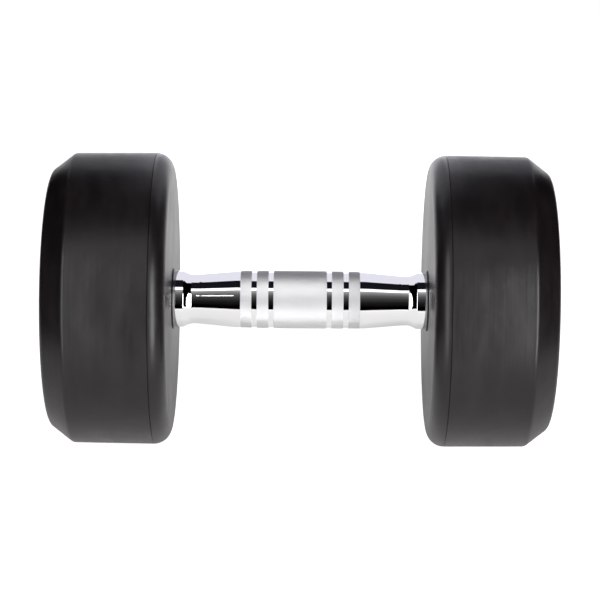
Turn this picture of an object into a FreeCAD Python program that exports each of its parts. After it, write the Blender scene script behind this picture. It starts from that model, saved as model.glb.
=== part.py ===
import FreeCAD, Part
import math
import os

import Sketcher

# Round-head rubber dumbbell with a contoured, chrome-plated bar.
# Lengths are in millimetres and angles in degrees. X runs along the bar, Z is up,
# and the origin is the middle of the bar. Everything turned is drawn as a half
# section on the XZ plane and spun about X. The right head is drawn in place, and
# the left head is the same set of pieces turned half a turn about Z.

SIZES = {
    # The bar's visible half, from its middle outwards
    "barrel_radius": 16.0,
    "barrel_crown": 0.28,
    "middle_knurl_width": 29.2,
    "smooth_band_width": 2.9,
    "smooth_band_depth": 0.25,
    "side_knurl_width": 6.4,
    "end_knurl_width": 6.05,
    "barrel_margin": 1.75,
    "shoulder_length": 3.6,
    "shoulder_drop": 0.165,
    "neck_depth": 2.17,
    "neck_entry_length": 2.8,
    "neck_entry_drop": 0.125,
    "neck_length": 2.5,
    "neck_round": 4.0,
    "flare_length": 4.4,
    "flare_height": 1.87,
    "collar_length": 5.85,
    "collar_edge_round": 0.6,
    # The bar's end inside the head
    "spigot_wall": 4.5,
    "spigot_chamfer": 1.0,
    "spigot_clearance": 0.05,
    "pull_up_gap": 0.8,
    "tapped_hole_runout": 5.0,
    "drill_point_angle": 118.0,
    # The rubber head's outside
    "grip_span": 141.5,
    "head_width": 66.6,
    "head_radius": 80.8,
    "rim_draft_drop": 0.45,
    "corner_radius": 9.5,
    "parting_line_width": 0.7,
    "parting_line_depth": 0.45,
    "chamfer_length": 12.8,
    "chamfer_angle": 37.5,
    "chamfer_crease_round": 6.7,
    "outer_face_round": 4.8,
    "collar_gap": 0.7,
    "collar_hole_round": 0.6,
    "cap_mouth_round": 0.8,
    # The steel core inside the rubber
    "rubber_thickness": 4.2,
    "bond_film": 0.1,
    "core_corner_round": 5.3,
    "key_groove_width": 4.0,
    "key_groove_depth": 2.0,
    "key_groove_spacing": 18.0,
    "counterbore_gap": 1.5,
    "counterbore_chamfer": 1.0,
    # Two round keys, half in the spigot and half in the core
    "key_pin_radius": 2.5,
    "key_pin_length": 20.0,
    "key_pin_chamfer": 0.5,
    "key_pin_clearance": 0.05,
    "key_pin_end_gap": 0.3,
    # Washers and bolt
    "clamp_washer_radius": 19.0,
    "clamp_washer_clearance": 0.5,
    "clamp_washer_thickness": 6.0,
    "clamp_washer_chamfer": 0.6,
    "lock_washer_radius": 12.2,
    "lock_washer_clearance": 0.2,
    "lock_washer_thickness": 3.5,
    "lock_washer_split_angle": 8.0,
    "bolt_radius": 8.0,
    "bolt_length": 40.0,
    "bolt_head_radius": 12.0,
    "bolt_head_height": 16.0,
    "bolt_head_chamfer": 1.0,
    "bolt_tip_chamfer": 1.5,
    "bolt_cover_gap": 1.5,
    "hex_socket_width": 14.0,
    "hex_socket_depth": 8.0,
    "thread_clearance": 0.1,
    # End cap and the tape behind it
    "cap_radius": 42.0,
    "cap_thickness": 2.2,
    "cap_edge_round": 0.8,
    "cap_border_width": 5.0,
    "cap_field_depth": 0.4,
    "cap_gap": 0.4,
    "tape_margin": 2.0,
    "tape_width": 16.0,
    "tape_thickness": 0.8,
}

# Places along the bar, in sizes of the sheet
MIDDLE_KNURL_END = "Sizes.middle_knurl_width / 2"
SIDE_KNURL_START = f"({MIDDLE_KNURL_END} + Sizes.smooth_band_width)"
SIDE_KNURL_END = f"({SIDE_KNURL_START} + Sizes.side_knurl_width)"
END_KNURL_START = f"({SIDE_KNURL_END} + Sizes.smooth_band_width)"
BARREL_END = f"({END_KNURL_START} + Sizes.end_knurl_width + Sizes.barrel_margin)"
SHOULDER_END = f"({BARREL_END} + Sizes.shoulder_length)"
INNER_FACE = "Sizes.grip_span / 2"
FLARE_END = f"({INNER_FACE} - Sizes.collar_length)"
NECK_END = f"({FLARE_END} - Sizes.flare_length)"
NECK_START = f"({NECK_END} - Sizes.neck_length)"
TAPER_END = f"({NECK_START} - Sizes.neck_entry_length)"
PARTING_LINE = f"({INNER_FACE} + Sizes.corner_radius)"
OUTER_FACE = f"({INNER_FACE} + Sizes.head_width)"
CHAMFER_START = f"({OUTER_FACE} - Sizes.chamfer_length)"
CORE_INNER = f"({INNER_FACE} + Sizes.rubber_thickness)"
CORE_OUTER = f"({OUTER_FACE} - Sizes.rubber_thickness)"
CORE_MIDDLE = f"(({CORE_INNER} + {CORE_OUTER}) / 2)"
BOLT_HEAD_TOP = f"({CORE_OUTER} - Sizes.bolt_cover_gap)"
BOLT_SEAT = f"({BOLT_HEAD_TOP} - Sizes.bolt_head_height)"
LOCK_WASHER_SEAT = f"({BOLT_SEAT} - Sizes.lock_washer_thickness)"
COUNTERBORE_FLOOR = f"({LOCK_WASHER_SEAT} - Sizes.clamp_washer_thickness)"
SPIGOT_END = f"({COUNTERBORE_FLOOR} - Sizes.pull_up_gap)"
KEY_PIN_OUTER_END = f"({COUNTERBORE_FLOOR} - Sizes.key_pin_end_gap)"
BOLT_TIP = f"({BOLT_SEAT} - Sizes.bolt_length)"
TAPPED_HOLE_END = f"({BOLT_TIP} - Sizes.tapped_hole_runout)"
CAP_BACK = f"({CORE_OUTER} + Sizes.tape_thickness)"
CAP_FRONT = f"({CAP_BACK} + Sizes.cap_thickness)"

# Distances from the bar's axis
BARREL_END_RADIUS = "(Sizes.barrel_radius - Sizes.barrel_crown)"
NECK_RADIUS = "(Sizes.barrel_radius - Sizes.neck_depth)"
COLLAR_RADIUS = f"({NECK_RADIUS} + Sizes.flare_height)"
SPIGOT_RADIUS = "(Sizes.bolt_radius + Sizes.spigot_wall)"
COUNTERBORE_RADIUS = "(Sizes.clamp_washer_radius + Sizes.counterbore_gap)"
CHAMFER_START_RADIUS = "(Sizes.head_radius - Sizes.rim_draft_drop)"
CHAMFER_END_RADIUS = f"({CHAMFER_START_RADIUS} - Sizes.chamfer_length * tan(Sizes.chamfer_angle))"
COLLAR_HOLE_RADIUS = f"({COLLAR_RADIUS} + Sizes.collar_gap)"
CAP_MOUTH_RADIUS = "(Sizes.cap_radius + Sizes.cap_gap)"
CORE_BORE_RADIUS = f"({SPIGOT_RADIUS} + Sizes.spigot_clearance)"
TAPPED_HOLE_RADIUS = "(Sizes.bolt_radius + Sizes.thread_clearance)"
KEY_HOLE_RADIUS = "(Sizes.key_pin_radius + Sizes.key_pin_clearance)"
CAP_FIELD_RADIUS = "(Sizes.cap_radius - Sizes.cap_border_width)"

# How far a cutting outline is carried past the surface that it cuts, in sizes of the sheet
BAND_OVERRUN = "Sizes.smooth_band_depth"
PARTING_LINE_OVERRUN = "Sizes.parting_line_depth"

# How a sketch counts its own axes, and the points of a line or an arc
HORIZONTAL_AXIS, VERTICAL_AXIS = range(-1, -3, -1)
START, END, CENTRE = range(1, 4)

doc = FreeCAD.newDocument("Dumbbell")


def fill_sheet():
    """The driving dimensions, one named cell each."""
    sheet = doc.addObject("Spreadsheet::Sheet", "Sizes")
    for row, (name, size) in enumerate(SIZES.items(), start=1):
        sheet.set(f"A{row}", name)
        sheet.set(f"B{row}", str(size))
        sheet.setAlias(f"B{row}", name)
    doc.recompute()
    return sheet


sheet = fill_sheet()


def number(expression):
    """What an expression in sizes of the sheet comes to now."""
    return float(sheet.evalExpression(expression))


def new_body(label, side="right"):
    """A body drawn on the right, or turned half a turn about Z for the left."""
    body = doc.addObject("PartDesign::Body", label)
    body.Label = label
    if side == "left":
        half_turn = FreeCAD.Rotation(FreeCAD.Vector(0, 0, 1), 180)
        body.Placement = FreeCAD.Placement(FreeCAD.Vector(0, 0, 0), half_turn)
    return body


def origin_feature(body, role):
    """One of the body's own origin planes or axes."""
    return next(item for item in body.Origin.OriginFeatures if item.Role == role)


def new_sketch(body, name, plane, along="0"):
    """An empty sketch on an origin plane, moved out along the plane's normal."""
    sketch = body.newObject("Sketcher::SketchObject", name)
    sketch.AttachmentSupport = (origin_feature(body, plane), [""])
    sketch.MapMode = "FlatFace"
    if along != "0":
        sketch.setExpression("AttachmentOffset.Base.z", along)
    return sketch


def hold_point(sketch, geometry, point, across, up):
    """Ties a point to its distances from the sketch's origin."""
    for kind, axis, place in (("DistanceX", VERTICAL_AXIS, across), ("DistanceY", HORIZONTAL_AXIS, up)):
        if place == "0":
            sketch.addConstraint(Sketcher.Constraint("PointOnObject", geometry, point, axis))
            continue
        rule = Sketcher.Constraint(kind, HORIZONTAL_AXIS, START, geometry, point, number(place))
        index = sketch.addConstraint(rule)
        sketch.setExpression(f"Constraints[{index}]", place)


def level_arc(first, last, level):
    """An arc through two corners, level at one of them: its centre is straight below or above that."""
    other = first if level == last else last
    rise = level.y - other.y
    radius = ((level.x - other.x) ** 2 / rise + rise) / 2
    centre = FreeCAD.Vector(level.x, level.y - radius, 0)
    angles = sorted(math.atan2(corner.y - centre.y, corner.x - centre.x) for corner in (other, level))
    return Part.ArcOfCircle(Part.Circle(centre, FreeCAD.Vector(0, 0, 1), abs(radius)), *angles)


def draw_outline(sketch, corners, arcs=None):
    """A closed outline. arcs gives the sides that are arcs, with the corner where each runs level."""
    points = [FreeCAD.Vector(number(across), number(up), 0) for across, up in corners]
    sides = []
    for side, first in enumerate(points):
        last = points[(side + 1) % len(points)]
        if arcs and side in arcs:
            level = points[arcs[side]]
            arc = level_arc(first, last, level)
            geometry = sketch.addGeometry(arc)
            runs_forward = arc.StartPoint.distanceToPoint(first) < arc.EndPoint.distanceToPoint(first)
            ends = (START, END) if runs_forward else (END, START)
            level_end = ends[0] if level == first else ends[1]
            sketch.addConstraint(Sketcher.Constraint("Vertical", geometry, CENTRE, geometry, level_end))
        else:
            geometry = sketch.addGeometry(Part.LineSegment(first, last))
            ends = (START, END)
        sides.append((geometry, ends))
    for side, (geometry, ends) in enumerate(sides):
        before, before_ends = sides[side - 1]
        sketch.addConstraint(Sketcher.Constraint("Coincident", before, before_ends[1], geometry, ends[0]))
        hold_point(sketch, geometry, ends[0], *corners[side])


def spin(body, kind, name, outlines, arcs=None):
    """A turned solid or a turned cut: closed outlines in the half section, spun about the bar's axis."""
    sketch = new_sketch(body, name + "Sketch", "XZ_Plane")
    for corners in outlines:
        draw_outline(sketch, corners, arcs)
    feature = body.newObject("PartDesign::" + kind, name)
    feature.Profile = sketch
    feature.ReferenceAxis = (origin_feature(body, "X_Axis"), [""])
    feature.Angle = 360
    doc.recompute()
    return feature


def drill(body, name, circles, mouth, depth):
    """Round holes sunk towards the middle of the bar from a plane across it."""
    sketch = new_sketch(body, name + "Sketch", "YZ_Plane", mouth)
    draw_circles(sketch, circles)
    pocket = body.newObject("PartDesign::Pocket", name)
    pocket.Profile = sketch
    pocket.setExpression("Length", depth)
    doc.recompute()


def draw_circles(sketch, circles):
    """Circles given by their radius and height above the axis, or below it where the sign is minus."""
    for radius, height, sign in circles:
        centre = FreeCAD.Vector(0, sign * number(height), 0)
        circle = Part.Circle(centre, FreeCAD.Vector(0, 0, 1), number(radius))
        geometry = sketch.addGeometry(circle)
        index = sketch.addConstraint(Sketcher.Constraint("Radius", geometry, number(radius)))
        sketch.setExpression(f"Constraints[{index}]", radius)
        sketch.addConstraint(Sketcher.Constraint("PointOnObject", geometry, CENTRE, VERTICAL_AXIS))
        rule = Sketcher.Constraint("DistanceY", HORIZONTAL_AXIS, START, geometry, CENTRE, centre.y)
        index = sketch.addConstraint(rule)
        sketch.setExpression(f"Constraints[{index}]", height if sign > 0 else f"-{height}")


def ring_edges(shape, rings):
    """The names of the round edges at these places: each is along the bar, and out from its axis."""
    names = []
    for along, out in rings:
        place, radius = number(along), number(out)
        tolerance = radius / 10000
        for index, edge in enumerate(shape.Edges, start=1):
            if not isinstance(edge.Curve, Part.Circle):
                continue
            if abs(edge.Curve.Center.x - place) < tolerance and abs(edge.Curve.Radius - radius) < tolerance:
                names.append(f"Edge{index}")
    return names


def dress(body, kind, name, base, rings, size):
    """A fillet or chamfer on round edges of the feature before it."""
    feature = body.newObject("PartDesign::" + kind, name)
    feature.Base = (base, ring_edges(base.Shape, rings))
    feature.setExpression("Size" if kind == "Chamfer" else "Radius", size)
    doc.recompute()
    return feature


def build_handle():
    """The one-piece bar: half of it is turned and drilled, and then mirrored about its middle."""
    body = new_body("handle")
    half_section = [
        ("0", "0"),
        ("0", "Sizes.barrel_radius"),
        (BARREL_END, BARREL_END_RADIUS),
        (SHOULDER_END, f"({BARREL_END_RADIUS} - Sizes.shoulder_drop)"),
        (TAPER_END, f"({NECK_RADIUS} + Sizes.neck_entry_drop)"),
        (NECK_START, NECK_RADIUS),
        (NECK_END, NECK_RADIUS),
        (FLARE_END, COLLAR_RADIUS),
        (CORE_INNER, COLLAR_RADIUS),
        (CORE_INNER, SPIGOT_RADIUS),
        (SPIGOT_END, SPIGOT_RADIUS),
        (SPIGOT_END, "0"),
    ]
    bar = spin(body, "Revolution", "HalfBar", [half_section], arcs={1: 1, 2: 2, 4: 5})
    neck = (NECK_END, NECK_RADIUS)
    collar_edge = (FLARE_END, COLLAR_RADIUS)
    spigot_rim = (SPIGOT_END, SPIGOT_RADIUS)
    bar = dress(body, "Fillet", "NeckRound", bar, [neck], "Sizes.neck_round")
    bar = dress(body, "Fillet", "CollarEdgeRound", bar, [collar_edge], "Sizes.collar_edge_round")
    dress(body, "Chamfer", "SpigotChamfer", bar, [spigot_rim], "Sizes.spigot_chamfer")
    spin(body, "Groove", "SmoothBands", [
        band_outline(MIDDLE_KNURL_END, SIDE_KNURL_START),
        band_outline(SIDE_KNURL_END, END_KNURL_START),
    ])
    drill_point = f"{TAPPED_HOLE_RADIUS} / tan(Sizes.drill_point_angle / 2)"
    spin(body, "Groove", "TappedHole", [[
        (f"({TAPPED_HOLE_END} - {drill_point})", "0"),
        (TAPPED_HOLE_END, TAPPED_HOLE_RADIUS),
        (SPIGOT_END, TAPPED_HOLE_RADIUS),
        (SPIGOT_END, "0"),
    ]])
    drill_key_holes(body)
    whole = body.newObject("PartDesign::Mirrored", "WholeBar")
    whole.TransformMode = "Whole shape"
    whole.MirrorPlane = (origin_feature(body, "YZ_Plane"), [""])
    body.Tip = whole
    return body


def band_outline(start, end):
    """The section of a shallow band that is turned into the barrel between two knurls."""
    floor = f"({BARREL_END_RADIUS} - Sizes.smooth_band_depth)"
    top = f"(Sizes.barrel_radius + {BAND_OVERRUN})"
    return [(start, floor), (start, top), (end, top), (end, floor)]


def drill_key_holes(body):
    """The two holes for the round keys, on the line where spigot and core meet."""
    depth = "Sizes.key_pin_length + Sizes.key_pin_end_gap * 2"
    circles = [(KEY_HOLE_RADIUS, SPIGOT_RADIUS, sign) for sign in (1, -1)]
    drill(body, "KeyHoles", circles, COUNTERBORE_FLOOR, depth)


def core_rim(film):
    """The core's rim from its inner to its outer face, pushed out by a film: with none it is the
    core itself, and with the bond film it is the inside of the rubber."""
    inset = f"(Sizes.rubber_thickness - {film})"
    rim_radius = f"({CHAMFER_START_RADIUS} - {inset})"
    chamfer_start = f"({CHAMFER_START} - {inset} * tan(Sizes.chamfer_angle / 2))"
    chamfer_end = f"({CHAMFER_END_RADIUS} - {inset} * tan((90 - Sizes.chamfer_angle) / 2))"
    inner_face = f"({INNER_FACE} + {inset})"
    outer_face = f"({OUTER_FACE} - {inset})"
    groove_floor = f"({rim_radius} - Sizes.key_groove_depth)"
    half_groove = f"(Sizes.key_groove_width / 2 - {film})"
    rim_middle = f"(({CORE_INNER} + {CHAMFER_START}) / 2)"
    corners = [(inner_face, rim_radius)]
    for side in ("-", "+"):
        groove_middle = f"({rim_middle} {side} Sizes.key_groove_spacing / 2)"
        corners.append((f"({groove_middle} - {half_groove})", rim_radius))
        corners.append((f"({groove_middle} - {half_groove})", groove_floor))
        corners.append((f"({groove_middle} + {half_groove})", groove_floor))
        corners.append((f"({groove_middle} + {half_groove})", rim_radius))
    corners.append((chamfer_start, rim_radius))
    corners.append((outer_face, chamfer_end))
    return corners


def build_head_core(side):
    """The turned steel disc that carries the weight."""
    body = new_body(f"{side}_head_core", side)
    rim = core_rim("0")
    section = [(CORE_INNER, CORE_BORE_RADIUS)] + rim + [
        (CORE_OUTER, COUNTERBORE_RADIUS),
        (COUNTERBORE_FLOOR, COUNTERBORE_RADIUS),
        (COUNTERBORE_FLOOR, CORE_BORE_RADIUS),
    ]
    disc = spin(body, "Revolution", "Disc", [section])
    disc = dress(body, "Fillet", "InnerCornerRound", disc, rim[:1], "Sizes.core_corner_round")
    mouth = [(CORE_OUTER, COUNTERBORE_RADIUS)]
    dress(body, "Chamfer", "CounterboreChamfer", disc, mouth, "Sizes.counterbore_chamfer")
    drill_key_holes(body)
    return body


def build_rubber_jacket(side):
    """The moulded rubber skin, bonded to the core all round, with a hole for the collar and a
    mouth for the end cap."""
    body = new_body(f"{side}_rubber_jacket", side)
    corner_start = "(Sizes.head_radius - Sizes.corner_radius)"
    outside = [
        (INNER_FACE, COLLAR_HOLE_RADIUS),
        (INNER_FACE, corner_start),
        (PARTING_LINE, "Sizes.head_radius"),
        (CHAMFER_START, CHAMFER_START_RADIUS),
        (OUTER_FACE, CHAMFER_END_RADIUS),
        (OUTER_FACE, CAP_MOUTH_RADIUS),
        (CORE_MIDDLE, CAP_MOUTH_RADIUS),
        (CORE_MIDDLE, COLLAR_HOLE_RADIUS),
    ]
    skin = spin(body, "Revolution", "Outside", [outside], arcs={1: 2})
    rim = core_rim("Sizes.bond_film")
    cavity = [(rim[0][0], "0")] + rim + [(rim[-1][0], "0")]
    skin = spin(body, "Groove", "CoreCavity", [cavity])
    rounds = (
        ("CavityCornerRound", rim[0], "(Sizes.core_corner_round + Sizes.bond_film)"),
        ("ChamferCreaseRound", outside[3], "Sizes.chamfer_crease_round"),
        ("OuterFaceRound", outside[4], "Sizes.outer_face_round"),
        ("CollarHoleRound", outside[0], "Sizes.collar_hole_round"),
        ("CapMouthRound", outside[5], "Sizes.cap_mouth_round"),
    )
    for name, ring, radius in rounds:
        skin = dress(body, "Fillet", name, skin, [ring], radius)
    half_width = "Sizes.parting_line_width / 2"
    top = f"(Sizes.head_radius + {PARTING_LINE_OVERRUN})"
    spin(body, "Groove", "PartingLine", [[
        (f"({PARTING_LINE} - {half_width})", top),
        (PARTING_LINE, "(Sizes.head_radius - Sizes.parting_line_depth)"),
        (f"({PARTING_LINE} + {half_width})", top),
    ]])
    return body


def turn_ring(body, start, end, radius, hole_radius):
    """A plain turned ring between two places along the bar."""
    section = [(start, hole_radius), (start, radius), (end, radius), (end, hole_radius)]
    return spin(body, "Revolution", "Ring", [section])


def build_clamp_washer(side):
    """The thick washer on the counterbore's floor."""
    body = new_body(f"{side}_clamp_washer", side)
    radius = "Sizes.clamp_washer_radius"
    hole = "(Sizes.bolt_radius + Sizes.clamp_washer_clearance)"
    ring = turn_ring(body, COUNTERBORE_FLOOR, LOCK_WASHER_SEAT, radius, hole)
    rims = [(COUNTERBORE_FLOOR, radius), (LOCK_WASHER_SEAT, radius)]
    dress(body, "Chamfer", "RimChamfer", ring, rims, "Sizes.clamp_washer_chamfer")
    return body


def build_lock_washer(side):
    """The split spring washer, drawn pressed flat under the bolt's head."""
    body = new_body(f"{side}_lock_washer", side)
    hole = "(Sizes.bolt_radius + Sizes.lock_washer_clearance)"
    ring = turn_ring(body, LOCK_WASHER_SEAT, BOLT_SEAT, "Sizes.lock_washer_radius", hole)
    ring.setExpression("Angle", "360 - Sizes.lock_washer_split_angle")
    return body


def build_clamp_bolt(side):
    """The socket-head cap screw. Its thread is drawn plain, at its major diameter."""
    body = new_body(f"{side}_clamp_bolt", side)
    section = [
        (BOLT_TIP, "0"),
        (BOLT_TIP, "Sizes.bolt_radius"),
        (BOLT_SEAT, "Sizes.bolt_radius"),
        (BOLT_SEAT, "Sizes.bolt_head_radius"),
        (BOLT_HEAD_TOP, "Sizes.bolt_head_radius"),
        (BOLT_HEAD_TOP, "0"),
    ]
    bolt = spin(body, "Revolution", "Screw", [section])
    bolt = dress(body, "Chamfer", "HeadChamfer", bolt, [section[4]], "Sizes.bolt_head_chamfer")
    dress(body, "Chamfer", "TipChamfer", bolt, [section[1]], "Sizes.bolt_tip_chamfer")
    sketch = new_sketch(body, "SocketSketch", "YZ_Plane", BOLT_HEAD_TOP)
    draw_hexagon(sketch, "Sizes.hex_socket_width")
    socket = body.newObject("PartDesign::Pocket", "Socket")
    socket.Profile = sketch
    socket.setExpression("Length", "Sizes.hex_socket_depth")
    return body


def draw_hexagon(sketch, width):
    """A regular hexagon about the origin, by its width across flats, with two flats level."""
    half_side = f"({width} / 2 * tan(30))"
    corners = []
    for turn in range(6):
        angle = math.radians(60 * turn)
        corners.append(FreeCAD.Vector(math.cos(angle), math.sin(angle), 0) * 2 * number(half_side))
    edges = [
        sketch.addGeometry(Part.LineSegment(corner, corners[(turn + 1) % 6]))
        for turn, corner in enumerate(corners)
    ]
    apothem = f"{width} / 2"
    inscribed = Part.Circle(FreeCAD.Vector(0, 0, 0), FreeCAD.Vector(0, 0, 1), number(apothem))
    circle = sketch.addGeometry(inscribed, True)
    index = sketch.addConstraint(Sketcher.Constraint("Radius", circle, number(apothem)))
    sketch.setExpression(f"Constraints[{index}]", apothem)
    sketch.addConstraint(Sketcher.Constraint("Coincident", circle, CENTRE, HORIZONTAL_AXIS, START))
    for turn, edge in enumerate(edges):
        sketch.addConstraint(Sketcher.Constraint("Coincident", edges[turn - 1], END, edge, START))
        sketch.addConstraint(Sketcher.Constraint("Tangent", edge, circle))
        if turn:
            sketch.addConstraint(Sketcher.Constraint("Equal", edges[0], edge))
    sketch.addConstraint(Sketcher.Constraint("PointOnObject", edges[0], START, HORIZONTAL_AXIS))


def build_key_pin(side, place):
    """One round key, above or below the bar's axis."""
    body = new_body(f"{side}_{place}_key_pin", side)
    sign = 1 if place == "upper" else -1
    sketch = new_sketch(body, "PinSketch", "YZ_Plane", KEY_PIN_OUTER_END)
    draw_circles(sketch, [("Sizes.key_pin_radius", SPIGOT_RADIUS, sign)])
    pin = body.newObject("PartDesign::Pad", "Pin")
    pin.Profile = sketch
    pin.Reversed = True
    pin.setExpression("Length", "Sizes.key_pin_length")
    doc.recompute()
    inner_end = f"({KEY_PIN_OUTER_END} - Sizes.key_pin_length)"
    ends = [(KEY_PIN_OUTER_END, "Sizes.key_pin_radius"), (inner_end, "Sizes.key_pin_radius")]
    dress(body, "Chamfer", "PinChamfer", pin, ends, "Sizes.key_pin_chamfer")
    return body


def build_cap_tape(side):
    """The ring of double-sided tape between the core and the end cap."""
    body = new_body(f"{side}_cap_tape", side)
    radius = "(Sizes.cap_radius - Sizes.tape_margin)"
    turn_ring(body, CORE_OUTER, CAP_BACK, radius, f"({radius} - Sizes.tape_width)")
    return body


def build_end_cap(side):
    """The bare metal disc that closes the counterbore, with a narrow raised border."""
    body = new_body(f"{side}_end_cap", side)
    field = f"({CAP_FRONT} - Sizes.cap_field_depth)"
    section = [
        (CAP_BACK, "0"),
        (CAP_BACK, "Sizes.cap_radius"),
        (CAP_FRONT, "Sizes.cap_radius"),
        (CAP_FRONT, CAP_FIELD_RADIUS),
        (field, CAP_FIELD_RADIUS),
        (field, "0"),
    ]
    disc = spin(body, "Revolution", "Disc", [section])
    dress(body, "Fillet", "EdgeRound", disc, [section[2]], "Sizes.cap_edge_round")
    return body


def build_all():
    """Every piece of the dumbbell, head by head."""
    bodies = [build_handle()]
    for side in ("left", "right"):
        bodies.append(build_head_core(side))
        bodies.append(build_rubber_jacket(side))
        bodies.append(build_clamp_washer(side))
        bodies.append(build_lock_washer(side))
        bodies.append(build_clamp_bolt(side))
        bodies.append(build_key_pin(side, "upper"))
        bodies.append(build_key_pin(side, "lower"))
        bodies.append(build_cap_tape(side))
        bodies.append(build_end_cap(side))
    doc.recompute()
    return bodies


def check(bodies):
    """Stops if a feature failed, a cut took nothing away, or a piece isn't one valid solid."""
    for item in doc.Objects:
        if "Invalid" in item.State or "Error" in item.State:
            raise RuntimeError(f"{item.Label} failed: {item.State}")
        if item.TypeId in ("PartDesign::Groove", "PartDesign::Pocket"):
            if item.Shape.Volume >= item.BaseFeature.Shape.Volume:
                raise RuntimeError(f"{item.Label} cuts nothing")
    for body in bodies:
        shape = body.Shape
        if shape.isNull() or not shape.isValid() or len(shape.Solids) != 1:
            raise RuntimeError(f"{body.Label} isn't one valid solid")


def export(bodies):
    """One STEP file a piece, named for it."""
    os.makedirs("parts", exist_ok=True)
    for body in bodies:
        body.Shape.exportStep(f"parts/{body.Label}.step")
        box = body.Shape.BoundBox
        print(f"{body.Label}: {body.Shape.Volume / 1000:.1f} cm3, x {box.XMin:.2f} to {box.XMax:.2f}")


pieces = build_all()
check(pieces)
export(pieces)
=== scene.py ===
# %% [markdown]
# # A round rubber dumbbell
# A contoured steel bar, knurled and plated with chrome, joins two steel discs that are moulded
# into black rubber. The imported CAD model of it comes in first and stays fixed. The pieces that
# show are then modelled again in finer detail around it, and every piece gets a finish.
# Places are read from that model or written in millimetres in its axes: X runs along the bar to
# the right, Z is up, the camera looks along +Y, and the origin is the middle of the bar.

# %% Load the frame
import math

import bmesh
import bpy
from mathutils import Matrix, Vector


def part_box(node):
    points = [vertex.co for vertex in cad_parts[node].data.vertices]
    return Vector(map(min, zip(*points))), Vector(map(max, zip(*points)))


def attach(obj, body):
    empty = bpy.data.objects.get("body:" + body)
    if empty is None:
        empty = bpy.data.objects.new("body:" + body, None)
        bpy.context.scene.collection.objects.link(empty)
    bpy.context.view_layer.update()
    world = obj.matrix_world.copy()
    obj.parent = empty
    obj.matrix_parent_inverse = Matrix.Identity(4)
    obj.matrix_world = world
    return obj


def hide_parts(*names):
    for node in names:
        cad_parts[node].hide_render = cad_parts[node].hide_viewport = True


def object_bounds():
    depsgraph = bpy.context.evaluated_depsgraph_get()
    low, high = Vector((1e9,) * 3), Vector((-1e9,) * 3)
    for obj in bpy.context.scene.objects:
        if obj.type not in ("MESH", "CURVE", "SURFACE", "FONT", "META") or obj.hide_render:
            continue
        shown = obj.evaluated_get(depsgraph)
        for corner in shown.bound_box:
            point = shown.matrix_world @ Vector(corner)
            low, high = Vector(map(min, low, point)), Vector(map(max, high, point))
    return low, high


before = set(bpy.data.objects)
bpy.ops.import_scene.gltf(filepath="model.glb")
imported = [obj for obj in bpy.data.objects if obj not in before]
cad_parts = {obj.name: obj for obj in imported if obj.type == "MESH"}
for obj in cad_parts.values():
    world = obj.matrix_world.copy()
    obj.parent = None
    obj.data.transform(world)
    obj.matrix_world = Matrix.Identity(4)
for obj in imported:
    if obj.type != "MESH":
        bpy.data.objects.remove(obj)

cad_box = [list(corner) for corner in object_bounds()]
MM = 0.001
box_in_mm = [[round(v / MM, 2) for v in corner] for corner in cad_box]
print("frame:", len(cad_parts), "nodes, box in mm", box_in_mm)

# %% [markdown]
# ## The camera
# The photograph was taken square to the bar from well above it, with a long lens. The distance,
# the lens and the small roll come from fitting the outlines of both heads. An outline of turned
# shapes can't tell the height of the camera, but the bands of light in the chrome do.

# %% Place the camera
CAMERA_ELEVATION = 30.0
CAMERA_AZIMUTH = 0.154
CAMERA_ROLL = 0.48
CAMERA_DISTANCE = 1241.6
CAMERA_SHIFT = (-0.08, -0.15)
LENS, SENSOR = 133.86, 36.0
SIGHT_END = 100  # metres


def towards(azimuth, elevation):
    """The direction from the dumbbell at these angles. Azimuth 0 is the camera's side, 90 is +X."""
    a, e = math.radians(azimuth), math.radians(elevation)
    return Vector((math.sin(a) * math.cos(e), -math.cos(a) * math.cos(e), math.sin(e)))


def aim(thing, place, direction, roll=0.0):
    """Puts a camera or lamp in place, looking against the direction that it stands in."""
    thing.rotation_mode = "QUATERNION"
    turn = (-direction).to_track_quat("-Z", "Y").to_matrix()
    turn = turn @ Matrix.Rotation(math.radians(roll), 3, "Z")
    thing.rotation_quaternion = turn.to_quaternion()
    thing.location = place


camera = bpy.data.objects.new("camera", bpy.data.cameras.new("camera"))
camera.data.lens = LENS
camera.data.sensor_width = SENSOR
camera.data.clip_end = SIGHT_END
camera_side = towards(CAMERA_AZIMUTH, CAMERA_ELEVATION)
aim(camera, camera_side * CAMERA_DISTANCE * MM, camera_side, CAMERA_ROLL)
across, up = CAMERA_SHIFT
camera.location += camera.rotation_quaternion @ Vector((across, up, 0)) * MM
bpy.context.collection.objects.link(camera)
bpy.context.scene.camera = camera
print("camera at", [round(v, 4) for v in camera.location], "m, lens", LENS, "mm")

# %% [markdown]
# ## Helpers for finishes
# A material is a small tree of nodes. It could be drawn by hand in the editor, but written down
# it can be read and made again. One function adds any kind of node with its settings and its
# inputs, and one turns a hex colour, as seen on a screen, into the linear light that the shaders
# reckon in.

# %% Colour and nodes


def linear(hex_colour):
    """A hex colour as linear red, green, blue and a full alpha."""
    parts = [int(hex_colour[i:i + 2], 16) / 255 for i in (1, 3, 5)]
    return tuple(p / 12.92 if p <= 0.04045 else ((p + 0.055) / 1.055) ** 2.4 for p in parts) + (1.0,)


def add(tree, kind, inputs=None, **settings):
    """Adds a node. An input is a plain value or another node's output, by socket name or number."""
    node = tree.nodes.new("ShaderNode" + kind)
    for name, value in settings.items():
        setattr(node, name, value)
    for name, value in (inputs or {}).items():
        if isinstance(value, bpy.types.NodeSocket):
            tree.links.new(value, node.inputs[name])
        else:
            node.inputs[name].default_value = value
    return node


print("the screen colour #808080 is", round(linear("#808080")[0], 3), "in linear light")

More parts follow.
